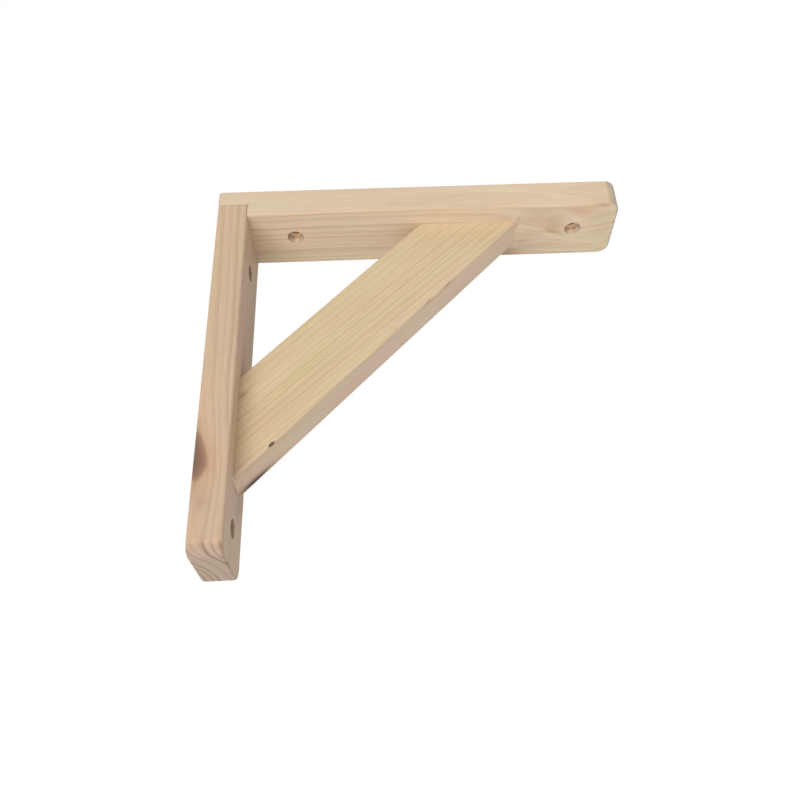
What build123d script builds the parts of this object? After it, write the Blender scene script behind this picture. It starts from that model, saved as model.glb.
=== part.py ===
from build123d import *
from math import hypot
import os

# Wooden shelf bracket: a top arm, a wall arm and a diagonal brace of planed pine,
# glued together and held by six countersunk screws that hide against the shelf and the wall.
# The origin is on the face against the wall, midway between the two wall screw holes.
# X runs out from the wall, Y along the wall and Z up. Millimetres.

# Boards of the two arms
board_width = 44.0
top_arm_length = 240.0
top_arm_thickness = 19.5
wall_arm_thickness = 17.5
overall_height = 230.0
housing_depth = 8.2  # how far the wall arm's end is let into the top arm
end_corner_radius = 7.2
arris_radius = 1.5

# Brace: its lower edge meets the top arm at brace_reach from the wall
# and the wall arm at brace_drop below the shelf
brace_width = 42.8
brace_thickness = 21.5
brace_setback = 12.5  # from the boards' near side
brace_reach = 178.0
brace_drop = 186.6

# Counterbored holes for the screws into the shelf and the wall
hole_line = 20.4  # from the boards' near side
hole_diameter = 4.5
counterbore_diameter = 10.0
counterbore_depth = 5.0
shelf_hole_inner = 43.8  # from the wall
shelf_hole_end = 26.0  # from the top arm's free end
wall_hole_upper = 46.8  # below the shelf
wall_hole_end = 20.4  # from the wall arm's lower end

# Countersunk screws that hold the boards together
screw_length = 40.0
screw_diameter = 4.0  # over the thread
screw_point_length = 5.0
screw_tip_diameter = 1.0
screw_head_diameter = 8.0
screw_head_rim = 0.4
screw_sink = 0.5  # how far the heads lie below the wood
screw_fit = 0.05  # the wood's clearance round a screw
recess_span = 4.4
recess_slot = 1.1
recess_depth = 1.8
recess_taper = 8.0
corner_screw_spacing = 22.0
foot_screw_edge = 12.0  # from the brace's upper edge to its first screw
foot_screw_cover = 6.5  # wood left past the point of its second screw

# Places that follow from the sizes
shelf_hole_outer = top_arm_length - shelf_hole_end
wall_hole_lower = overall_height - wall_hole_end
near_side = -hole_line
mid_width = near_side + board_width / 2
shelf_z = (wall_hole_upper + wall_hole_lower) / 2
underside_z = shelf_z - top_arm_thickness
housing_z = underside_z + housing_depth
bottom_z = shelf_z - overall_height
brace_mid = near_side + brace_setback + brace_thickness / 2

# The brace's lower edge, from its tip under the top arm to its tip at the wall arm
run = brace_reach - wall_arm_thickness
fall = brace_drop - top_arm_thickness
brace_slope = hypot(run, fall)
foot_on_top_arm = brace_width * brace_slope / fall
foot_on_wall_arm = brace_width * brace_slope / run

# Screws into the brace's two feet, measured from the wall and down from the shelf
top_bite = screw_length + screw_sink - top_arm_thickness
wall_bite = screw_length + screw_sink - wall_arm_thickness
top_foot_screws = (
    brace_reach - foot_on_top_arm + foot_screw_edge,
    brace_reach - top_bite * run / fall - foot_screw_cover,
)
wall_foot_screws = (
    brace_drop - foot_on_wall_arm + foot_screw_edge,
    brace_drop - wall_bite * fall / run - foot_screw_cover,
)
corner_rows = (mid_width - corner_screw_spacing / 2, mid_width + corner_screw_spacing / 2)


def on_shelf_face(x, y):
    return Plane(origin=(x, y, shelf_z), x_dir=(1, 0, 0), z_dir=(0, 0, 1))


def on_wall_face(y, drop):
    return Plane(origin=(0, y, shelf_z - drop), x_dir=(0, 0, 1), z_dir=(-1, 0, 0))


corner_screw_places = [on_shelf_face(wall_arm_thickness / 2, y) for y in corner_rows]
top_foot_screw_places = [on_shelf_face(x, brace_mid) for x in top_foot_screws]
wall_foot_screw_places = [on_wall_face(brace_mid, drop) for drop in wall_foot_screws]
shelf_hole_places = [
    Plane(origin=(x, 0, underside_z), x_dir=(1, 0, 0), z_dir=(0, 0, -1))
    for x in (shelf_hole_inner, shelf_hole_outer)
]
wall_hole_places = [
    Plane(origin=(wall_arm_thickness, 0, shelf_z - drop), x_dir=(0, 0, 1), z_dir=(1, 0, 0))
    for drop in (wall_hole_upper, wall_hole_lower)
]


head_z = -screw_sink
head_bottom_z = head_z - screw_head_rim - (screw_head_diameter - screw_diameter) / 2
screw_end_z = head_z - screw_length

# One screw, point down, with the face that it is driven into at Z = 0
with BuildPart() as screw:
    with BuildSketch(Plane.XZ):
        with BuildLine():
            Polyline(
                (0, head_z),
                (screw_head_diameter / 2, head_z),
                (screw_head_diameter / 2, head_z - screw_head_rim),
                (screw_diameter / 2, head_bottom_z),
                (screw_diameter / 2, screw_end_z + screw_point_length),
                (screw_tip_diameter / 2, screw_end_z),
                (0, screw_end_z),
                close=True,
            )
        make_face()
    revolve(axis=Axis.Z)
    with BuildSketch(Plane.XY.offset(head_z)):
        Rectangle(recess_span, recess_slot)
        Rectangle(recess_slot, recess_span)
    extrude(amount=-recess_depth, taper=recess_taper, mode=Mode.SUBTRACT)

# The countersunk hole that the screw fills in the wood
with BuildPart() as screw_hole:
    with BuildSketch(Plane.XZ):
        with BuildLine():
            Polyline(
                (0, 0),
                (screw_head_diameter / 2 + screw_fit, 0),
                (screw_head_diameter / 2 + screw_fit, head_z - screw_head_rim),
                (screw_diameter / 2 + screw_fit, head_bottom_z),
                (screw_diameter / 2 + screw_fit, screw_end_z - screw_fit),
                (0, screw_end_z - screw_fit),
                close=True,
            )
        make_face()
    revolve(axis=Axis.Z)

with BuildPart() as top_arm:
    with BuildSketch(Plane.XY.offset(shelf_z)) as outline:
        with Locations((0, mid_width)):
            Rectangle(top_arm_length, board_width, align=(Align.MIN, Align.CENTER))
        fillet(outline.vertices().group_by(Axis.X)[-1], end_corner_radius)
    extrude(amount=-top_arm_thickness)
    wall_end = top_arm.edges().filter_by(Axis.Z).group_by(Axis.X)[0]
    fillet(top_arm.faces().filter_by(Axis.Z).edges() + wall_end, arris_radius)
    with BuildSketch(Plane.XY.offset(underside_z)):
        with Locations((0, mid_width)):
            Rectangle(wall_arm_thickness, board_width, align=(Align.MIN, Align.CENTER))
    extrude(amount=housing_depth, mode=Mode.SUBTRACT)
    with Locations(*shelf_hole_places):
        CounterBoreHole(hole_diameter / 2, counterbore_diameter / 2, counterbore_depth)
    with Locations(*corner_screw_places, *top_foot_screw_places):
        add(screw_hole.part, mode=Mode.SUBTRACT)

with BuildPart() as wall_arm:
    with BuildSketch(Plane.YZ) as outline:
        with Locations((mid_width, housing_z)):
            Rectangle(board_width, housing_z - bottom_z, align=(Align.CENTER, Align.MAX))
        fillet(outline.vertices().group_by(Axis.Y)[0], end_corner_radius)
    extrude(amount=wall_arm_thickness)
    outline_edges = wall_arm.faces().filter_by(Axis.X).edges()
    fillet([edge for group in outline_edges.group_by(Axis.Z)[:-1] for edge in group], arris_radius)
    with Locations(*wall_hole_places):
        CounterBoreHole(hole_diameter / 2, counterbore_diameter / 2, counterbore_depth)
    with Locations(*corner_screw_places, *wall_foot_screw_places):
        add(screw_hole.part, mode=Mode.SUBTRACT)

with BuildPart() as brace:
    with BuildSketch(Plane.XZ.offset(-brace_mid)):
        with BuildLine():
            Polyline(
                (brace_reach, underside_z),
                (brace_reach - foot_on_top_arm, underside_z),
                (wall_arm_thickness, shelf_z - brace_drop + foot_on_wall_arm),
                (wall_arm_thickness, shelf_z - brace_drop),
                close=True,
            )
        make_face()
    extrude(amount=brace_thickness / 2, both=True)
    long_edges = brace.edges().filter_by(Axis((0, 0, 0), (run, 0, fall)))
    fillet(long_edges, arris_radius)
    with Locations(*top_foot_screw_places, *wall_foot_screw_places):
        add(screw_hole.part, mode=Mode.SUBTRACT)

with BuildPart() as joint_screws:
    with Locations(*corner_screw_places, *top_foot_screw_places, *wall_foot_screw_places):
        add(screw.part)

top_arm.part.label = "top_arm"
wall_arm.part.label = "wall_arm"
brace.part.label = "brace"
joint_screws.part.label = "joint_screws"

os.makedirs("parts", exist_ok=True)
export_step(top_arm.part, "parts/top_arm.step")
export_step(wall_arm.part, "parts/wall_arm.step")
export_step(brace.part, "parts/brace.step")
export_step(joint_screws.part, "parts/joint_screws.step")
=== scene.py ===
import math

import bmesh
import bpy
from bpy.props import FloatProperty, FloatVectorProperty, PointerProperty
from bpy.types import Operator, Panel, PropertyGroup
from mathutils import Matrix, Vector


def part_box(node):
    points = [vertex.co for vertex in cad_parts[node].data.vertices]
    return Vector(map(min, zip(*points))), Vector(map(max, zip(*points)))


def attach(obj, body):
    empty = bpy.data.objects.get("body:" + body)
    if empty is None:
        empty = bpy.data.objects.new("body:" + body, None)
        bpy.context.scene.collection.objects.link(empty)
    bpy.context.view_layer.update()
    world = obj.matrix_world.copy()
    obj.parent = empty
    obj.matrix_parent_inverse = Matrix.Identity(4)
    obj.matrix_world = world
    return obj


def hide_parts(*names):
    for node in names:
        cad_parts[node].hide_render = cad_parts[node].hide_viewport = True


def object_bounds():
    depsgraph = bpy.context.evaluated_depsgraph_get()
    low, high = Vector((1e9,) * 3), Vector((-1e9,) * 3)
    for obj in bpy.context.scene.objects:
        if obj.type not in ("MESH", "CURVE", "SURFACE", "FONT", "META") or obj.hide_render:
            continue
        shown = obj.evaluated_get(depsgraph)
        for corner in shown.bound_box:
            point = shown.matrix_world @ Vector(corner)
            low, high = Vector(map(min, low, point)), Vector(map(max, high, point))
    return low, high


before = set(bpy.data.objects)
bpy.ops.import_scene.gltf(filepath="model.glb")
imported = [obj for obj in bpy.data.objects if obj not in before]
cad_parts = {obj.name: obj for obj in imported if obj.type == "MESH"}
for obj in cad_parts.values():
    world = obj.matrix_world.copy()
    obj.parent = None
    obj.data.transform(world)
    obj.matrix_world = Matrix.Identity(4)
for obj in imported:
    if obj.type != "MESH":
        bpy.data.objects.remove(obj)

bl_info = {
    "name": "Wooden Shelf Bracket",
    "version": (1, 0, 0),
    "blender": (4, 5, 0),
    "location": "3D Viewport > Sidebar > Bracket",
    "description": "Raw pine, joint screws and a studio stage for a wooden shelf bracket",
    "category": "Object",
}

# The row frame, in metres: X runs out from the wall, Y along it and Z up.

MM = 0.001

# The boards' CAD boxes
TOP_LOW, TOP_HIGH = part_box("top_arm")
WALL_LOW, WALL_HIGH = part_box("wall_arm")
BRACE_LOW, BRACE_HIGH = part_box("brace")
CAD_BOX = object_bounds()

BRACE_SLOPE = math.atan2(BRACE_HIGH.z - BRACE_LOW.z, BRACE_HIGH.x - BRACE_LOW.x)
SHELF_HOLES = (0.0438, 0.2140)  # distances from the wall

# The joint screws: X, Y and the recess's turn in degrees on the shelf face, Y, Z and turn on the wall face
SHELF_SCREWS = (
    (0.00875, -0.0094, 20),
    (0.00875, 0.0126, 65),
    (0.13066, 0.00285, 40),
    (0.15133, 0.00285, 85),
)
WALL_SCREWS = ((0.00285, -0.00862, 10), (0.00285, -0.02795, 55))

# The screws' small shapes
HEAD_SIDES = 48
HEAD_EDGE = 0.0001  # the broken edge of the head
HEAD_RIM = 0.0003  # the upright part below it
RECESS_FLOOR = 0.62  # the recess's floor against its mouth
NECK_END = (0.0004, 0.85)  # the neck's last step into the thread, and how far that narrows
THREAD_SIDES = 24
# One pitch of the thread: 0 for the core or 1 for the crest, and the share of the pitch
THREAD_OUTLINE = ((0, 0.0), (0, 0.50), (1, 0.72), (1, 0.78), (0, 1.0))
TIP = 0.06  # the tip's width against the thread's
WELD = 0.000005  # points closer than this become one
ON_PLANE = 0.000001  # how near to a cut's plane a point lies on it
SHARP = math.radians(35)  # edges from this angle up are drawn sharp

# The wood's noises: cells to the millimetre along the grain and on the two axes across it
DRIFT = (1 / 230, 1 / 36, 1 / 36)
RIPPLE = (1 / 40, 1 / 7, 1 / 7)
BLOTCH = (1 / 90, 1 / 15, 1 / 15)
FIBRE = (1 / 16, 1.7, 1.7)
CANAL = (1 / 7, 2.6, 2.6)
KNOT_OUTLINE = (1 / 9, 1 / 5, 1 / 5)
RIPPLE_REACH = 0.9  # in millimetres
ACROSS = (0, 1, 1)

# Each range below runs from where its effect is 0 to where it is full.

# Growth rings
UNEVEN_CELLS = 0.08  # to the millimetre, out from the pith
UNEVEN_REACH = 3.0  # in rings
LATE_RISE = (0.25, 0.92)  # over the width of a ring
LATE_CURVE = 1.4
LATE_END = (1.0, 0.93)
LATE_DEPTH = (0.2, 0.9)  # the least, and what chance adds at most
FLAT_LOSS = 0.65  # contrast lost on a face along the rings
CALM_LOSS = 0.6  # contrast lost in a calm zone
END_GAIN = 0.75  # contrast gained on end grain
END_GAIN_RANGE = (0.05, 0.35)

# Tones of the wood: the range that brings each in, and what the colour is multiplied by
WARM_BLOTCH = ((0.40, 0.70), (1.0, 0.945, 0.915))
COOL_BLOTCH = ((0.55, 0.30), (1.0, 1.01, 0.94))
FIBRE_SHADE = ((0.66, 0.34), (0.93, 0.93, 0.93))
END_SHADE = ((0.10, 0.60), (0.78, 0.80, 0.90))
CANAL_RANGE = (0.66, 0.76)
CANAL_DEPTH = 0.35

# Knots, with distances in their half-sizes. A knot's own values are rings, by which it bends the board's
# rings; heart_rings, the spacing of its own; core, where its dark middle ends; dark, how dark that is;
# rough, how uneven its outline is; and share and rim, how strongly its inside and its dark line show.
KNOT_PULL = 0.72  # how much of its bend a ring keeps at distance 1
KNOT_EDGE = (1.06, 0.86)
KNOT_RING = (0.2, 0.9)  # over the width of a ring in the knot
KNOT_RING_DEPTH = 0.16
KNOT_CORE_EDGE = 0.45
KNOT_RIM = 0.98
KNOT_RIM_RANGE = (0.13, 0.02)  # to either side
KNOT_HALO_RANGE = (1.75, 0.95)
KNOT_HALO_DEPTH = 0.45
KNOT_HALO = (0.84, 0.72, 0.64)

# The planed surface
LATE_RELIEF = 0.5
FIBRE_RELIEF = 0.5
KNOT_RELIEF = 0.6
RELIEF_HEIGHT = 0.00012
LEAST_ROUGHNESS = 0.55
FIBRE_ROUGHNESS = 0.18

# Stains
SEAM = (0.62, 0.55, 0.44)
PALE_STREAK = (1.07, 1.07, 1.08)
TAN_STREAK = (0.96, 0.86, 0.78)
STREAK_OVERLAP = 0.55  # a stain's half-length against its stretch of the line
STREAK_DEPTH = 0.003

# The screws' plating, with its noises' cells to the metre on each axis
CLOUD_CELLS = (900.0,) * 3
CLOUD_RANGE = (0.35, 0.7)
CLOUD_TINT = (0.60, 0.52, 0.38)
CLOUD_ROUGHNESS = 0.16
GRIT_CELLS = (5200.0,) * 3
GRIT_HEIGHT = 0.00005

# The stage. Each lamp has its place from the bracket's middle, its side and its colour.
LAMPS = {
    "front_lamp": ((-0.80, -1.60, -1.09), 1.4, (1.0, 0.985, 0.95)),
    "fill_lamp": ((1.1, -0.4, -1.3), 1.0, (0.94, 0.98, 1.0)),
    "top_lamp": ((0.1, -0.1, 1.3), 1.2, (1.0, 1.0, 1.0)),
    "back_lamp": ((-0.7, 1.2, 0.4), 0.8, (1.0, 1.0, 1.0)),
}
ROOM_TINT = (0.965, 0.990, 1.030)
FLOOR_RADIUS = 9.0
FLOOR_SIDES = 96
FLOOR_GREY = 0.90


def colour(name, description, default):
    """A colour that a user can change."""
    return FloatVectorProperty(name=name, description=description, default=default,
                               subtype="COLOR", size=3, min=0.0, max=1.0)


def length(name, description, default):
    """A length in metres that a user can change."""
    return FloatProperty(name=name, description=description, default=default,
                         unit="LENGTH", precision=5)


def share(name, description, default):
    """A plain number that a user can change."""
    return FloatProperty(name=name, description=description, default=default, min=0.0)


class BracketPine(PropertyGroup):
    """Colours and ring widths of the three boards"""

    top_pale: colour("Top arm earlywood", "Pale wood of the top arm", (0.775, 0.615, 0.440))
    top_late: colour("Top arm latewood", "Dark ring lines of the top arm", (0.560, 0.385, 0.225))
    top_ring: length("Top arm rings", "Width of one growth ring in the top arm", 0.0043)
    wall_pale: colour("Wall arm earlywood", "Pale wood of the wall arm", (0.690, 0.500, 0.345))
    wall_late: colour("Wall arm latewood", "Dark ring lines of the wall arm", (0.450, 0.285, 0.170))
    wall_ring: length("Wall arm rings", "Width of one growth ring in the wall arm", 0.0040)
    brace_pale: colour("Brace earlywood", "Pale wood of the brace", (0.730, 0.565, 0.355))
    brace_late: colour("Brace latewood", "Dark ring lines of the brace", (0.520, 0.345, 0.170))
    brace_ring: length("Brace rings", "Width of one growth ring in the brace", 0.0030)
    knot_heart: colour("Knot", "Wood inside a knot", (0.330, 0.180, 0.115))
    knot_bark: colour("Knot rim", "Dark line round a knot", (0.100, 0.060, 0.045))


class BracketScrews(PropertyGroup):
    """Sizes and finish of the countersunk wood screws that hold the joints"""

    length: length("Length", "From the head to the point", 0.0400)
    sink: length("Sink", "How far the heads lie below the wood", 0.0005)
    head_radius: length("Head", "Radius of the head", 0.0040)
    neck_radius: length("Neck", "Radius of the smooth neck", 0.00145)
    core_radius: length("Core", "Radius between the threads", 0.00130)
    crest_radius: length("Thread", "Radius over the thread", 0.00195)
    thread_length: length("Thread length", "How far the thread runs up from the point", 0.0260)
    pitch: length("Pitch", "From one turn of the thread to the next", 0.0018)
    point_length: length("Point", "Length of the tapered point", 0.0050)
    recess_span: length("Recess span", "Width of the cross recess", 0.0044)
    recess_slot: length("Recess slot", "Width of the recess's arms", 0.0011)
    recess_depth: length("Recess depth", "Depth of the cross recess", 0.0015)
    zinc: colour("Zinc", "Yellow zinc plating", (0.680, 0.540, 0.270))
    roughness: share("Roughness", "Roughness of the plating", 0.32)


class BracketStage(PropertyGroup):
    """Camera, light and floor"""

    camera_place: FloatVectorProperty(name="Camera", description="Where the camera stands",
                                      default=(0.10117, -0.39302, -0.24950),
                                      subtype="TRANSLATION", unit="LENGTH")
    camera_turn: FloatVectorProperty(name="Camera turn", description="How the camera is turned",
                                     default=tuple(math.radians(a) for a in (120.664, 2.981, -0.581)),
                                     subtype="EULER")
    lens: FloatProperty(name="Lens", description="Focal length in millimetres", default=38.154)
    shift: FloatVectorProperty(name="Shift", description="Camera shift",
                               default=(-0.03328, 0.01091), size=2)
    floor_drop: length("Floor drop", "Floor below the bracket's lowest point", 1.80)
    room_light: share("Room light", "Strength of the even light from all round", 0.52)
    front_lamp: share("Front lamp", "Share of light that the front lamp adds", 0.62)
    fill_lamp: share("Fill lamp", "Share of light that the fill lamp adds", 0.10)
    top_lamp: share("Top lamp", "Share of light that the top lamp adds", 0.18)
    back_lamp: share("Back lamp", "Share of light that the back lamp adds", 0.20)


class Graph:
    """Adds nodes to one material or world. An input is a number, a tuple or a socket."""

    def __init__(self, owner):
        owner.use_nodes = True
        self.tree = owner.node_tree
        self.tree.nodes.clear()

    def node(self, kind, inputs=None, **settings):
        made = self.tree.nodes.new(kind)
        for key, value in settings.items():
            setattr(made, key, value)
        for key, value in (inputs or {}).items():
            if isinstance(value, bpy.types.NodeSocket):
                self.tree.links.new(value, made.inputs[key])
            else:
                made.inputs[key].default_value = value
        return made

    def math(self, operation, *values):
        return self.node("ShaderNodeMath", dict(enumerate(values)), operation=operation).outputs[0]

    def add(self, a, b):
        return self.math("ADD", a, b)

    def times(self, a, b):
        return self.math("MULTIPLY", a, b)

    def vector(self, operation, *values):
        made = self.node("ShaderNodeVectorMath", dict(enumerate(values)), operation=operation)
        return made.outputs["Value" if operation in {"LENGTH", "DOT_PRODUCT"} else "Vector"]

    def smooth(self, value, low, high):
        """0 at low and 1 at high, with soft ends."""
        made = self.node("ShaderNodeMapRange", {"Value": value, "From Min": low, "From Max": high},
                         interpolation_type="SMOOTHSTEP")
        return made.outputs["Result"]

    def noise(self, place, cells, detail, output="Fac"):
        """Noise with that many cells to the unit along each axis."""
        scaled = self.vector("MULTIPLY", place, cells)
        made = self.node("ShaderNodeTexNoise", {"Vector": scaled, "Scale": 1.0, "Detail": detail})
        return made.outputs[output]

    def mix(self, amount, a, b, blend="MIX"):
        """Colour a, with that amount of colour b."""
        made = self.node("ShaderNodeMix", {0: amount, 6: a, 7: b}, data_type="RGBA", blend_type=blend)
        return made.outputs[2]

    def tinted(self, amount, base, tint):
        """The base colour, with that amount of itself times a tint."""
        return self.mix(amount, base, self.mix(1.0, base, rgba(tint), "MULTIPLY"))

    def toned(self, value, base, tone):
        """The base colour with one of the wood's tones, which the value brings in."""
        span, tint = tone
        return self.tinted(self.smooth(value, *span), base, tint)


def rgba(values):
    """An opaque colour from red, green and blue."""
    return (*values, 1.0)


def grey(value):
    """An opaque grey."""
    return (value, value, value, 1.0)


def zone(centre, size, turn=(0, 0, 0), **more):
    """A stretched ball on a board: where it lies, its half-sizes, how it is turned and what it brings."""
    return {"centre": centre, "size": size, "turn": turn, **more}


def spot(centre, size, tint, turn=(0, 0, 0), strength=0.8):
    """A zone with the tint that the wood is multiplied by. Most are marks of the wood; some are painted
    light or painted shade.
    """
    return zone(centre, size, turn, tint=tint, strength=strength)


def streak(points, height, width, tint, strength=0.8):
    """Stains end to end along a grain line on a level face, from the line's points in X and Y."""
    made = []
    for start, end in zip(points, points[1:]):
        run = Vector(end) - Vector(start)
        middle = (Vector(start) + Vector(end)) / 2
        made.append(spot((*middle, height), (run.length * STREAK_OVERLAP, width, STREAK_DEPTH), tint,
                         (0, 0, math.atan2(run.y, run.x)), strength))
    return made


def hole_light_and_shade(place, height):
    """Painted light and shade in a shelf hole: paler walls near the mouth, partly paler drilled wood and
    partly painted light, and a darker depth, which is painted shade.
    """
    return [
        spot((place, 0, height + 0.0024), (0.0085, 0.0085, 0.0015), (1.36, 1.36, 1.36), strength=1.0),
        spot((place, 0, height + 0.0064), (0.0080, 0.0080, 0.0022), (0.84, 0.80, 0.78), strength=1.0),
    ]


def distance_from(g, place, ball):
    """How far a point is from a zone's centre, in the zone's half-sizes."""
    local = g.node("ShaderNodeMapping", {
        "Vector": place,
        "Location": ball["centre"],
        "Rotation": ball["turn"],
        "Scale": ball["size"],
    }, vector_type="TEXTURE").outputs[0]
    return g.vector("LENGTH", local)


def fading(g, distance, at_one):
    """1 at the centre, that value at distance 1, and on towards 0."""
    return g.math("POWER", at_one, g.times(distance, distance))


def nearness(g, place, ball):
    """1 at a zone's centre, a half at its half-size, and on towards 0."""
    return fading(g, distance_from(g, place, ball), 0.5)


def bent_log(g, log, drift):
    """The log's coordinates, bent across the grain so that the rings waver."""
    middle = (0.5, 0.5, 0.5)
    slow = g.vector("SUBTRACT", g.noise(log, DRIFT, detail=2.0, output="Color"), middle)
    quick = g.vector("SUBTRACT", g.noise(log, RIPPLE, detail=1.0, output="Color"), middle)
    bent = g.vector("ADD", log, g.vector("MULTIPLY", slow, (0, drift, drift)))
    return g.vector("ADD", bent, g.vector("MULTIPLY", quick, (0, RIPPLE_REACH, RIPPLE_REACH)))


def ring_count(g, place, log, bent, look):
    """How many rings lie between the pith and a point, and each knot with a point's distance from it."""
    radius = g.vector("LENGTH", g.vector("MULTIPLY", bent, ACROSS))
    uneven = g.node("ShaderNodeTexNoise", {
        "W": g.times(radius, UNEVEN_CELLS),
        "Scale": 1.0,
        "Detail": 1.0,
    }, noise_dimensions="1D").outputs["Fac"]
    count = g.add(g.math("DIVIDE", radius, look["ring"] / MM), g.times(uneven, UNEVEN_REACH))
    for dome in look.get("domes", ()):
        count = g.add(count, g.times(nearness(g, place, dome), dome["rings"]))
    knots = []
    for knot in look.get("knots", ()):
        distance = distance_from(g, place, knot)
        outline = g.noise(log, KNOT_OUTLINE, detail=3.0)
        rough = g.times(g.math("SUBTRACT", outline, 0.5), knot["rough"])
        knots.append((knot, g.add(distance, rough)))
        count = g.add(count, g.times(fading(g, distance, KNOT_PULL), knot["rings"]))
    return count, knots


def latewood_share(g, count):
    """How dark the ring is at a point: slowly rising and quickly falling, and deeper in some rings."""
    part = g.math("FRACT", count)
    number = g.math("FLOOR", count)
    each = g.node("ShaderNodeTexWhiteNoise", {"W": number}, noise_dimensions="1D").outputs["Value"]
    rising = g.math("POWER", g.smooth(part, *LATE_RISE), LATE_CURVE)
    falling = g.smooth(part, *LATE_END)
    least, chance = LATE_DEPTH
    depth = g.add(g.times(each, chance), least)
    return g.times(g.times(rising, falling), depth)


def ring_contrast(g, place, bent, normal, endwise, look):
    """How strongly the rings show: less on faces along them and in a calm zone, more on end grain."""
    outward = g.vector("NORMALIZE", g.vector("MULTIPLY", bent, ACROSS))
    on_log = g.node("ShaderNodeMapping", {
        "Vector": normal,
        "Rotation": look["turn"],
    }, vector_type="VECTOR").outputs[0]
    flat = g.math("ABSOLUTE", g.vector("DOT_PRODUCT", outward, on_log))
    contrast = g.times(g.add(g.times(g.times(flat, flat), -FLAT_LOSS), 1.0), look["contrast"])
    if "calm" in look:
        calm = nearness(g, place, look["calm"])
        contrast = g.times(contrast, g.add(g.times(calm, -CALM_LOSS), 1.0))
    return g.add(g.times(g.smooth(endwise, *END_GAIN_RANGE), END_GAIN), contrast)


def with_knot(g, wood, knot, distance, finish):
    """The wood with a knot in it, and how much of a point lies inside the knot."""
    bark = rgba(finish.knot_bark)
    inside = g.smooth(distance, *KNOT_EDGE)
    rings = g.math("FRACT", g.times(distance, knot["heart_rings"]))
    heart = g.mix(g.times(g.smooth(rings, *KNOT_RING), KNOT_RING_DEPTH), rgba(finish.knot_heart), bark)
    core = g.smooth(distance, knot["core"], knot["core"] - KNOT_CORE_EDGE)
    heart = g.mix(g.times(core, knot["dark"]), heart, bark)
    rim = g.smooth(g.math("ABSOLUTE", g.add(distance, -KNOT_RIM)), *KNOT_RIM_RANGE)
    halo = g.smooth(distance, *KNOT_HALO_RANGE)
    wood = g.tinted(g.times(halo, KNOT_HALO_DEPTH), wood, KNOT_HALO)
    wood = g.mix(g.times(inside, knot["share"]), wood, heart)
    wood = g.mix(g.times(rim, knot["rim"]), wood, bark)
    return wood, inside


def pine(name, look, finish):
    """Raw planed pine. The rings run round a pith line, which turn and pith bring onto the log's X axis.

    A look has the board's two colours and ring width; turn, pith and offset, which place it in the log;
    drift, how far its rings waver in millimetres; contrast, how strongly they show; along, the direction
    of its grain; and its zones: domes, which bend the rings, knots, a calm one, and tinting zones, which
    are marks of the wood, painted light and painted shade.
    """
    pale, late = (rgba(tone) for tone in look["colours"])
    across, up = look["pith"]
    material = bpy.data.materials.new(name)
    g = Graph(material)
    coordinates = g.node("ShaderNodeTexCoord").outputs
    place, normal = coordinates["Object"], coordinates["Normal"]
    log = g.node("ShaderNodeMapping", {
        "Vector": place,
        "Location": (look["offset"], -across, -up),
        "Rotation": look["turn"],
        "Scale": (1 / MM,) * 3,
    }).outputs[0]

    bent = bent_log(g, log, look["drift"])
    count, knots = ring_count(g, place, log, bent, look)
    latewood = latewood_share(g, count)
    endwise = g.math("ABSOLUTE", g.vector("DOT_PRODUCT", normal, look["along"]))
    contrast = ring_contrast(g, place, bent, normal, endwise, look)
    wood = g.mix(g.times(latewood, contrast), pale, late)

    blotch = g.noise(log, BLOTCH, detail=3.0)
    wood = g.toned(blotch, wood, WARM_BLOTCH)
    wood = g.toned(blotch, wood, COOL_BLOTCH)
    fibre = g.noise(log, FIBRE, detail=4.0)
    wood = g.toned(fibre, wood, FIBRE_SHADE)
    canal = g.smooth(g.noise(log, CANAL, detail=1.0), *CANAL_RANGE)
    wood = g.mix(g.times(canal, CANAL_DEPTH), wood, late)
    wood = g.toned(endwise, wood, END_SHADE)

    relief = g.add(g.times(latewood, LATE_RELIEF), g.times(fibre, FIBRE_RELIEF))
    for knot, distance in knots:
        wood, inside = with_knot(g, wood, knot, distance, finish)
        relief = g.add(relief, g.times(inside, KNOT_RELIEF))
    # Tints near each zone: marks of the wood, painted light and painted shade
    for stain_or_shading in look["stains_and_shading"]:
        wood = g.tinted(g.times(nearness(g, place, stain_or_shading), stain_or_shading["strength"]), wood, stain_or_shading["tint"])

    bump = g.node("ShaderNodeBump", {
        "Height": relief,
        "Strength": 0.35,
        "Distance": RELIEF_HEIGHT,
    }).outputs[0]
    surface = g.node("ShaderNodeBsdfPrincipled", {
        "Base Color": wood,
        "Roughness": g.add(g.times(fibre, FIBRE_ROUGHNESS), LEAST_ROUGHNESS),
        "Normal": bump,
        "Specular IOR Level": 0.28,
    })
    g.node("ShaderNodeOutputMaterial", {"Surface": surface.outputs[0]})
    return material


def zinc_plate(settings):
    """Yellow zinc plating, cloudy and finely gritty."""
    material = bpy.data.materials.new("zinc_plate")
    g = Graph(material)
    place = g.node("ShaderNodeTexCoord").outputs["Object"]
    cloud = g.noise(place, CLOUD_CELLS, detail=3.0)
    grit = g.noise(place, GRIT_CELLS, detail=2.0)
    bump = g.node("ShaderNodeBump", {"Height": grit, "Strength": 0.15, "Distance": GRIT_HEIGHT}).outputs[0]
    surface = g.node("ShaderNodeBsdfPrincipled", {
        "Base Color": g.mix(g.smooth(cloud, *CLOUD_RANGE), rgba(settings.zinc), rgba(CLOUD_TINT)),
        "Metallic": 1.0,
        "Roughness": g.add(g.times(cloud, CLOUD_ROUGHNESS), settings.roughness - CLOUD_ROUGHNESS / 2),
        "Normal": bump,
    })
    g.node("ShaderNodeOutputMaterial", {"Surface": surface.outputs[0]})
    return material


def dress(node, material):
    """Gives a CAD node that material in every slot."""
    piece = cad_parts[node]
    piece.data.materials.clear()
    piece.data.materials.append(material)


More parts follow.
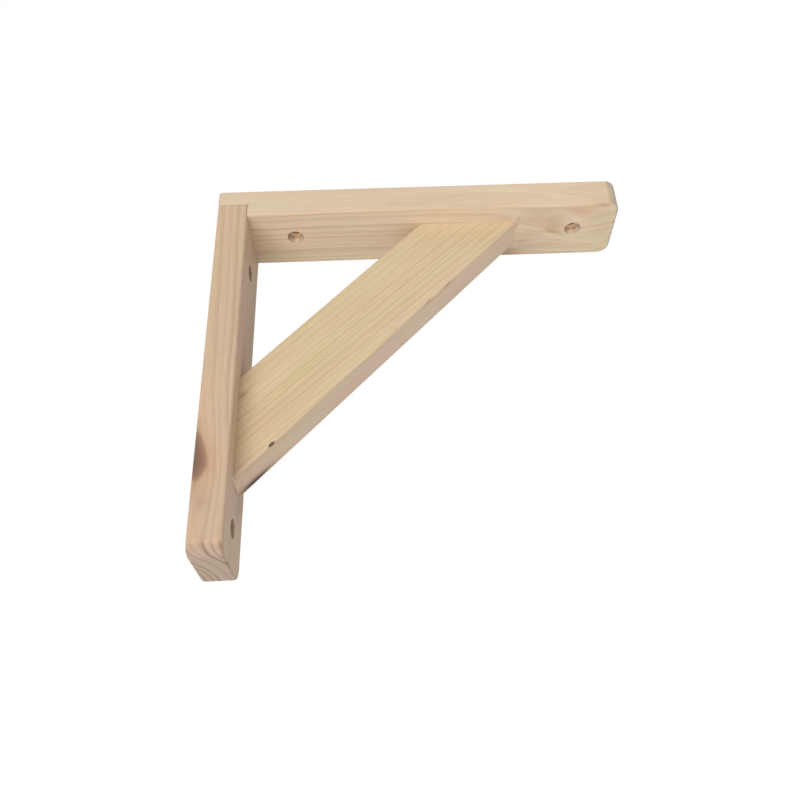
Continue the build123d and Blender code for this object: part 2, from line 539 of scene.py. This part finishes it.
class BRACKET_OT_top_arm(Operator):
    """Pine of the top arm, with the flame figure round its outer screw hole"""

    bl_idname = "bracket.top_arm"
    bl_label = "Top Arm"

    def execute(self, context):
        wood = context.scene.bracket_pine
        under = TOP_LOW.z
        look = {
            "colours": (wood.top_pale, wood.top_late),
            "ring": wood.top_ring,
            "turn": (0, 0, math.radians(0.8)),
            "pith": (54.0, (under + 0.007) / MM),
            "offset": 310.0,
            "drift": 8.0,
            "contrast": 0.50,
            "along": (1, 0, 0),
            "domes": [
                zone((0.200, -0.0040, under), (0.022, 0.0120, 0.016), (0, 0, 0.15), rings=1.4),
                zone((0.215, 0.0340, under), (0.050, 0.0300, 0.016), rings=3.6),
            ],
            "calm": zone((0.203, -0.0020, under), (0.026, 0.0200, 0.006)),
            "stains_and_shading": self.spots(under) + self.streaks(under),
        }
        # Each shelf hole gets painted light on its walls near the mouth and painted shade in its depth
        for place in SHELF_HOLES:
            look["stains_and_shading"] += hole_light_and_shade(place, under)
        dress("top_arm", pine("top_arm_pine", look, wood))
        return {"FINISHED"}

    def spots(self, under):
        """Tone changes over the faces, marks of the flame figure, and shade at the seams and arrises."""
        near, far, inner = TOP_LOW.y, TOP_HIGH.y, WALL_HIGH.x
        return [
            # Tones of the near face and the underside
            spot((0.2000, near, under + 0.010), (0.060, 0.003, 0.016), (1.07, 1.08, 1.07), strength=1.0),
            spot((0.1000, 0.0000, under), (0.032, 0.030, 0.003), (1.03, 1.05, 1.10), strength=1.0),
            spot((0.2060, 0.0000, under), (0.0300, 0.0300, 0.003), (0.968, 0.972, 0.990), strength=1.0),
            spot((0.2320, 0.0000, under), (0.0080, 0.0140, 0.003), (0.97, 0.98, 0.90)),
            # The flame figure
            spot((0.2190, -0.0145, under), (0.0062, 0.0034, 0.003), (0.96, 0.76, 0.68)),
            spot((0.1880, -0.0085, under), (0.0060, 0.0030, 0.003), (0.88, 0.82, 0.75)),
            spot((0.2015, -0.0040, under), (0.0052, 0.0046, 0.003), (0.84, 0.76, 0.65), (0, 0, 0.3)),
            spot((0.1868, 0.0042, under), (0.0075, 0.0028, 0.003), (0.89, 0.83, 0.79)),
            spot((0.1870, 0.0138, under), (0.0130, 0.0045, 0.003), (0.81, 0.81, 0.84)),
            # Two small dark spots beside the brace's end
            spot((0.1796, -0.0101, under), (0.0010, 0.0014, 0.002), (0.78, 0.70, 0.62)),
            spot((0.1790, -0.0045, under), (0.0010, 0.0016, 0.002), (0.74, 0.66, 0.58)),
            # Shade beyond the brace's foot and at the far arris
            spot((0.1760, 0.0200, under), (0.0080, 0.0032, 0.003), (0.62, 0.52, 0.44)),
            spot((0.1950, far, under), (0.0200, 0.0018, 0.003), (0.66, 0.58, 0.52)),
            # The wall arm's housing, seen as a dark seam
            spot((inner / 2, near, WALL_HIGH.z), (0.011, 0.004, 0.0003), SEAM, strength=0.5),
            spot((inner, near, WALL_HIGH.z - 0.0004), (0.0005, 0.004, 0.0009), SEAM),
            # The lower near arris, with a dark mark near its end
            spot((0.1000, near, under), (0.070, 0.0014, 0.0012), (0.84, 0.76, 0.66), strength=0.6),
            spot((0.2304, near, under - 0.0004), (0.0042, 0.0016, 0.0008), (0.45, 0.32, 0.22), strength=0.9),
        ]

    def streaks(self, under):
        """The grain lines that bend round the outer screw hole."""
        return [
            *streak([(0.1790, -0.0041), (0.1860, -0.0028), (0.1955, 0.0016), (0.2014, 0.0049),
                     (0.2105, 0.0094), (0.2206, 0.0109)], under, 0.0014, PALE_STREAK),
            *streak([(0.1941, -0.0092), (0.1989, -0.0142), (0.2042, -0.0149), (0.2099, -0.0128),
                     (0.2154, -0.0083), (0.2248, -0.0049)], under, 0.0014, PALE_STREAK),
            *streak([(0.1982, 0.0007), (0.2070, 0.0041)], under, 0.0015, (0.76, 0.66, 0.54)),
            *streak([(0.1775, 0.0093), (0.1876, 0.0098)], under, 0.0009, (0.84, 0.68, 0.68)),
            *streak([(0.1886, 0.0134), (0.2090, 0.0142), (0.2284, 0.0154)], under, 0.0009, TAN_STREAK),
            *streak([(0.1889, 0.0161), (0.2090, 0.0170), (0.2289, 0.0180)], under, 0.0008, TAN_STREAK),
        ]


class BRACKET_OT_wall_arm(Operator):
    """Pine of the wall arm, with the knot on its wall edge"""

    bl_idname = "bracket.wall_arm"
    bl_label = "Wall Arm"

    def execute(self, context):
        wood = context.scene.bracket_pine
        near, inner = WALL_LOW.y, WALL_HIGH.x
        look = {
            "colours": (wood.wall_pale, wood.wall_late),
            "ring": wood.wall_ring,
            "turn": (math.radians(0.7), math.radians(90.0), 0),
            "pith": (17.0, 28.0),
            "offset": 920.0,
            "drift": 6.0,
            "contrast": 0.50,
            "along": (0, 0, 1),
            "knots": [
                zone((-0.0058, near, -0.0432), (0.0083, 0.0550, 0.0219), (0, -0.33, 0.63), rings=-1.7,
                     heart_rings=2.6, core=0.98, dark=0.5, rough=0.25, share=0.86, rim=0.05),
            ],
            "stains_and_shading": [
                # The near face: the seam under the top arm, and tones round and below the knot
                spot((inner / 2, near, WALL_HIGH.z), (0.011, 0.004, 0.0003), SEAM, strength=0.5),
                spot((0.0000, near, -0.0540), (0.0022, 0.0080, 0.0130), (0.76, 0.76, 0.80),
                     (0, -0.12, 0), 0.9),
                spot((0.0085, near, -0.0540), (0.0045, 0.0060, 0.0070), (1.0, 0.93, 0.95)),
                spot((0.0060, near, -0.0762), (0.0030, 0.0040, 0.0035), (0.84, 0.80, 0.79)),
                spot((0.0085, near, -0.0800), (0.0100, 0.0040, 0.0140), (0.95, 0.975, 0.99)),
                # The inner face: shade under the brace's foot, at the far arris and up to the top arm
                spot((inner, 0.0020, -0.0602), (0.0020, 0.0060, 0.0009), (0.70, 0.62, 0.58)),
                spot((inner, 0.0070, -0.0675), (0.0020, 0.0060, 0.0060), (0.76, 0.78, 0.80)),
                spot((inner, 0.0170, -0.0605), (0.0020, 0.0070, 0.0060), (0.72, 0.73, 0.75)),
                spot((inner, 0.0236, -0.0780), (0.0018, 0.0018, 0.0200), (0.66, 0.58, 0.60)),
                spot((inner, 0.0000, 0.0500), (0.0030, 0.0300, 0.0450), (0.88, 0.91, 0.96)),
                spot((inner, 0.0220, 0.0450), (0.0030, 0.0090, 0.0500), (0.80, 0.82, 0.82)),
            ],
        }
        dress("wall_arm", pine("wall_arm_pine", look, wood))
        return {"FINISHED"}


class BRACKET_OT_brace(Operator):
    """Pine of the brace, with its pin knot and resin streaks"""

    bl_idname = "bracket.brace"
    bl_label = "Brace"

    def execute(self, context):
        wood = context.scene.bracket_pine
        near = BRACE_LOW.y
        along = (0, -BRACE_SLOPE, 0)
        look = {
            "colours": (wood.brace_pale, wood.brace_late),
            "ring": wood.brace_ring,
            "turn": (0, BRACE_SLOPE - 0.045, math.radians(-0.6)),
            "pith": (6.0, -76.0),
            "offset": 1700.0,
            "drift": 6.0,
            "contrast": 0.42,
            "along": (math.cos(BRACE_SLOPE), 0, math.sin(BRACE_SLOPE)),
            "knots": [
                zone((0.0361, near, -0.0387), (0.0020, 0.0019, 0.0007), along, rings=-0.7,
                     heart_rings=1.0, core=1.10, dark=0.85, rough=0.08, share=0.95, rim=0.8),
            ],
            "stains_and_shading": [
                # Resin streaks of the near face
                spot((0.1342, near, 0.0624), (0.0036, 0.0018, 0.0006), (0.34, 0.22, 0.16), along, 1.0),
                spot((0.1222, near, 0.0502), (0.0020, 0.0018, 0.0006), (0.55, 0.38, 0.28), along, 0.9),
                spot((0.1180, near, 0.0450), (0.0240, 0.0020, 0.0010), (0.86, 0.68, 0.56), along, 0.6),
                spot((0.0198, near, -0.0084), (0.0026, 0.0020, 0.0007), (0.64, 0.48, 0.40), along),
                # The dark stretch of the lower edge near the foot, towards its far arris, is painted shade:
                # a soft dark zone with a dark line in it
                spot((0.0250, 0.0098, -0.0506), (0.0110, 0.0028, 0.0020), (0.62, 0.54, 0.52), along, 1.0),
                spot((0.0252, 0.0106, -0.0504), (0.0080, 0.0014, 0.0020), (0.12, 0.10, 0.11), along, 1.0),
                # Painted light along the lower edge, paler and bluer, then tones over the near face
                spot((0.0977, 0.0045, 0.0252), (0.1800, 0.0100, 0.0030), (1.12, 1.09, 1.30), along, 1.0),
                spot((0.0230, near, -0.0520), (0.0080, 0.0040, 0.0060), (0.95, 0.91, 0.93), along),
                spot((0.0370, near, 0.0020), (0.0220, 0.0040, 0.0030), (1.07, 1.06, 1.12), along, 1.0),
                spot((0.1200, near, 0.0800), (0.0600, 0.0100, 0.0450), (1.05, 1.07, 1.08), strength=1.0),
                spot((0.1430, near, 0.1075), (0.0250, 0.0040, 0.0045), (1.06, 1.06, 1.16), strength=1.0),
            ],
        }
        dress("brace", pine("brace_pine", look, wood))
        return {"FINISHED"}


def screw_places():
    """Where the screws stand. Each place has the wood's face at Z = 0 and the screw pointing down."""
    def turned(degrees):
        return Matrix.Rotation(math.radians(degrees), 4, "Z")

    onto_wall = Matrix.Rotation(math.radians(-90), 4, "Y")
    in_shelf_face = [Matrix.Translation((x, y, TOP_HIGH.z)) @ turned(turn) for x, y, turn in SHELF_SCREWS]
    in_wall_face = [Matrix.Translation((0, y, z)) @ onto_wall @ turned(turn) for y, z, turn in WALL_SCREWS]
    return in_shelf_face + in_wall_face


def only(kind, items):
    """The items of that kind: mesh points or edges."""
    return [item for item in items if isinstance(item, kind)]


def loop_down(shape, edges, depth, scale):
    """Extrudes a ring of edges down and scales the new ring about the axis. Returns the new edges."""
    grown = bmesh.ops.extrude_edge_only(shape, edges=edges)["geom"]
    verts = only(bmesh.types.BMVert, grown)
    bmesh.ops.translate(shape, verts=verts, vec=(0, 0, -depth))
    bmesh.ops.scale(shape, verts=verts, vec=(scale, scale, 1.0))
    return only(bmesh.types.BMEdge, grown)


def open_edges(shape):
    """The edges with a face on one side alone."""
    return [edge for edge in shape.edges if edge.is_boundary]


class BRACKET_OT_screws(Operator):
    """Six countersunk wood screws with a cross recess and a cut thread"""

    bl_idname = "bracket.screws"
    bl_label = "Joint Screws"

    def execute(self, context):
        sizes = context.scene.bracket_screws
        pattern = bpy.data.meshes.new("screw_pattern")
        screw = bmesh.new()
        self.head(screw, sizes)
        screw.to_mesh(pattern)
        screw.clear()
        self.thread(screw, sizes)
        screw.from_mesh(pattern)
        screw.to_mesh(pattern)
        screw.free()

        every = bmesh.new()
        for place in screw_places():
            before = set(every.verts)
            every.from_mesh(pattern)
            added = [vert for vert in every.verts if vert not in before]
            bmesh.ops.transform(every, matrix=place, verts=added)
        bmesh.ops.recalc_face_normals(every, faces=every.faces)
        for face in every.faces:
            face.smooth = True
        for edge in every.edges:
            edge.smooth = edge.is_manifold and edge.calc_face_angle() < SHARP
        mesh = bpy.data.meshes.new("wood_screws")
        every.to_mesh(mesh)
        every.free()
        bpy.data.meshes.remove(pattern)
        mesh.materials.append(zinc_plate(sizes))
        screws = bpy.data.objects.new("wood_screws", mesh)
        context.scene.collection.objects.link(screws)
        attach(screws, "root")
        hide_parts("joint_screws")
        return {"FINISHED"}

    def head(self, shape, sizes):
        """The head and smooth neck, point down, with the face of the wood at Z = 0."""
        self.recess(shape, sizes)
        mouth = open_edges(shape)
        radius, neck = sizes.head_radius, sizes.neck_radius
        ring = bmesh.ops.create_circle(shape, segments=HEAD_SIDES, radius=radius - HEAD_EDGE)["verts"]
        ring = list(dict.fromkeys(edge for vert in ring for edge in vert.link_edges))
        bmesh.ops.triangle_fill(shape, edges=mouth + ring, use_beauty=True)
        ring = loop_down(shape, ring, HEAD_EDGE, radius / (radius - HEAD_EDGE))
        ring = loop_down(shape, ring, HEAD_RIM, 1.0)
        ring = loop_down(shape, ring, radius - neck, neck / radius)
        neck_length = sizes.length - sizes.thread_length - HEAD_EDGE - HEAD_RIM - (radius - neck)
        ring = loop_down(shape, ring, neck_length, 1.0)
        ring = loop_down(shape, ring, *NECK_END)
        bmesh.ops.holes_fill(shape, edges=ring)
        bmesh.ops.translate(shape, verts=shape.verts, vec=(0, 0, -sizes.sink))

    def recess(self, shape, sizes):
        """The cross recess, open at the top: nine faces in a grid, less the corners, pushed down."""
        bmesh.ops.create_grid(shape, x_segments=3, y_segments=3, size=sizes.recess_span / 2)
        cell = sizes.recess_span / 3
        for axis in (0, 1):
            for vert in shape.verts:
                if abs(vert.co[axis]) < cell:
                    vert.co[axis] *= sizes.recess_slot / cell
        corners = [face for face in shape.faces
                   if min(abs(c) for c in face.calc_center_median().xy) > cell / 4]
        bmesh.ops.delete(shape, geom=corners, context="FACES")
        cross = list(shape.faces)
        floor = only(bmesh.types.BMVert, bmesh.ops.extrude_face_region(shape, geom=cross)["geom"])
        bmesh.ops.translate(shape, verts=floor, vec=(0, 0, -sizes.recess_depth))
        bmesh.ops.scale(shape, verts=floor, vec=(RECESS_FLOOR, RECESS_FLOOR, 1.0))
        bmesh.ops.delete(shape, geom=[face for face in cross if face.is_valid], context="FACES")

    def thread(self, shape, sizes):
        """The threaded part: its outline over one pitch, wound round the axis and cut level at both ends."""
        radii = (sizes.core_radius, sizes.crest_radius)
        low = -sizes.sink - sizes.length
        high = low + sizes.thread_length
        verts = [shape.verts.new((radii[crest], 0, high + part * sizes.pitch))
                 for crest, part in THREAD_OUTLINE]
        edges = [shape.edges.new(pair) for pair in zip(verts, verts[1:])]
        turns = math.ceil(sizes.thread_length / sizes.pitch) + 2
        bmesh.ops.spin(shape, geom=verts + edges, cent=(0, 0, 0), axis=(0, 0, 1),
                       dvec=(0, 0, -sizes.pitch / THREAD_SIDES), angle=math.tau * turns,
                       steps=THREAD_SIDES * turns, use_duplicate=False)
        bmesh.ops.remove_doubles(shape, verts=shape.verts, dist=WELD)
        for height, side in ((high, "clear_outer"), (low, "clear_inner")):
            bmesh.ops.bisect_plane(shape, geom=[*shape.verts, *shape.edges, *shape.faces], dist=ON_PLANE,
                                   plane_co=(0, 0, height), plane_no=(0, 0, 1), **{side: True})
        bmesh.ops.holes_fill(shape, edges=open_edges(shape))
        for vert in shape.verts:
            above_tip = (vert.co.z - low) / sizes.point_length
            if above_tip < 1.0:
                taper = TIP + (1.0 - TIP) * math.sin(above_tip * math.pi / 2)
                vert.co.x *= taper
                vert.co.y *= taper


def seen_directly(g):
    """1 for rays that come from the camera, a mirror or clear glass."""
    path = g.node("ShaderNodeLightPath").outputs
    shown = g.math("MAXIMUM", path["Is Camera Ray"], path["Is Glossy Ray"])
    return g.math("MAXIMUM", shown, path["Is Transmission Ray"])


def lamp(name, place, target, side, level, tint):
    """A square soft lamp that adds that share of light to a surface facing it at its target."""
    data = bpy.data.lights.new(name, "AREA")
    data.size = side
    reach = (place - target).length
    data.energy = level * (math.pi * reach) ** 2
    data.color = tint
    made = bpy.data.objects.new(name, data)
    made.location = place
    made.rotation_euler = (target - place).to_track_quat("-Z", "Y").to_euler()
    bpy.context.scene.collection.objects.link(made)
    return made


class BRACKET_OT_stage(Operator):
    """Floor, room light, lamps and the camera"""

    bl_idname = "bracket.stage"
    bl_label = "Stage"

    def execute(self, context):
        stage = context.scene.bracket_stage
        scene = context.scene
        scene.view_settings.view_transform = "Standard"
        low, high = CAD_BOX
        middle = (low + high) / 2
        self.floor(low.z - stage.floor_drop)
        self.room(scene, stage.room_light)
        for name, (offset, side, tint) in LAMPS.items():
            made = lamp(name, middle + Vector(offset), middle, side, getattr(stage, name), tint)
            # A mirrored front lamp would blow out the screw heads against the wall
            made.visible_glossy = name != "front_lamp"
        data = bpy.data.cameras.new("camera")
        data.lens = stage.lens
        data.shift_x, data.shift_y = stage.shift
        data.clip_start = 0.01
        camera = bpy.data.objects.new("camera", data)
        camera.location = stage.camera_place
        camera.rotation_euler = stage.camera_turn
        scene.collection.objects.link(camera)
        scene.camera = camera
        return {"FINISHED"}

    def floor(self, height):
        """A wide pale disc, plain white where it is seen."""
        mesh = bpy.data.meshes.new("floor")
        shape = bmesh.new()
        bmesh.ops.create_circle(shape, cap_ends=True, segments=FLOOR_SIDES, radius=FLOOR_RADIUS)
        bmesh.ops.translate(shape, verts=shape.verts, vec=(0, 0, height))
        shape.to_mesh(mesh)
        shape.free()
        floor = bpy.data.objects.new("floor", mesh)
        bpy.context.scene.collection.objects.link(floor)
        material = bpy.data.materials.new("pale_floor")
        g = Graph(material)
        matt = g.node("ShaderNodeBsdfDiffuse", {"Color": grey(FLOOR_GREY)}).outputs[0]
        white = g.node("ShaderNodeEmission", {"Color": grey(1.0), "Strength": 1.0}).outputs[0]
        surface = g.node("ShaderNodeMixShader", {0: seen_directly(g), 1: matt, 2: white}).outputs[0]
        g.node("ShaderNodeOutputMaterial", {"Surface": surface})
        mesh.materials.append(material)

    def room(self, scene, level):
        """Even white light from all round, plain white where it is seen."""
        world = bpy.data.worlds.new("room")
        g = Graph(world)
        seen = seen_directly(g)
        back = g.node("ShaderNodeBackground", {
            "Color": g.mix(seen, rgba(ROOM_TINT), grey(1.0)),
            "Strength": g.add(g.times(seen, 1.0 - level), level),
        }).outputs[0]
        g.node("ShaderNodeOutputWorld", {"Surface": back})
        scene.world = world


class BRACKET_PT_sidebar(Panel):
    """Bracket tools in the sidebar"""

    bl_label = "Shelf Bracket"
    bl_idname = "BRACKET_PT_sidebar"
    bl_space_type = "VIEW_3D"
    bl_region_type = "UI"
    bl_category = "Bracket"

    def draw(self, context):
        for step in STEPS:
            self.layout.operator(step.bl_idname)
        scene = context.scene
        for group in (scene.bracket_pine, scene.bracket_screws, scene.bracket_stage):
            for name in group.__annotations__:
                self.layout.prop(group, name)


STEPS = (BRACKET_OT_top_arm, BRACKET_OT_wall_arm, BRACKET_OT_brace, BRACKET_OT_screws, BRACKET_OT_stage)
CLASSES = (BracketPine, BracketScrews, BracketStage, *STEPS, BRACKET_PT_sidebar)


def register():
    for cls in CLASSES:
        bpy.utils.register_class(cls)
    bpy.types.Scene.bracket_pine = PointerProperty(type=BracketPine)
    bpy.types.Scene.bracket_screws = PointerProperty(type=BracketScrews)
    bpy.types.Scene.bracket_stage = PointerProperty(type=BracketStage)


def unregister():
    del bpy.types.Scene.bracket_stage
    del bpy.types.Scene.bracket_screws
    del bpy.types.Scene.bracket_pine
    for cls in reversed(CLASSES):
        bpy.utils.unregister_class(cls)


def main():
    register()
    bpy.ops.bracket.top_arm()
    bpy.ops.bracket.wall_arm()
    bpy.ops.bracket.brace()
    bpy.ops.bracket.screws()
    bpy.ops.bracket.stage()


if __name__ == "__main__":
    main()
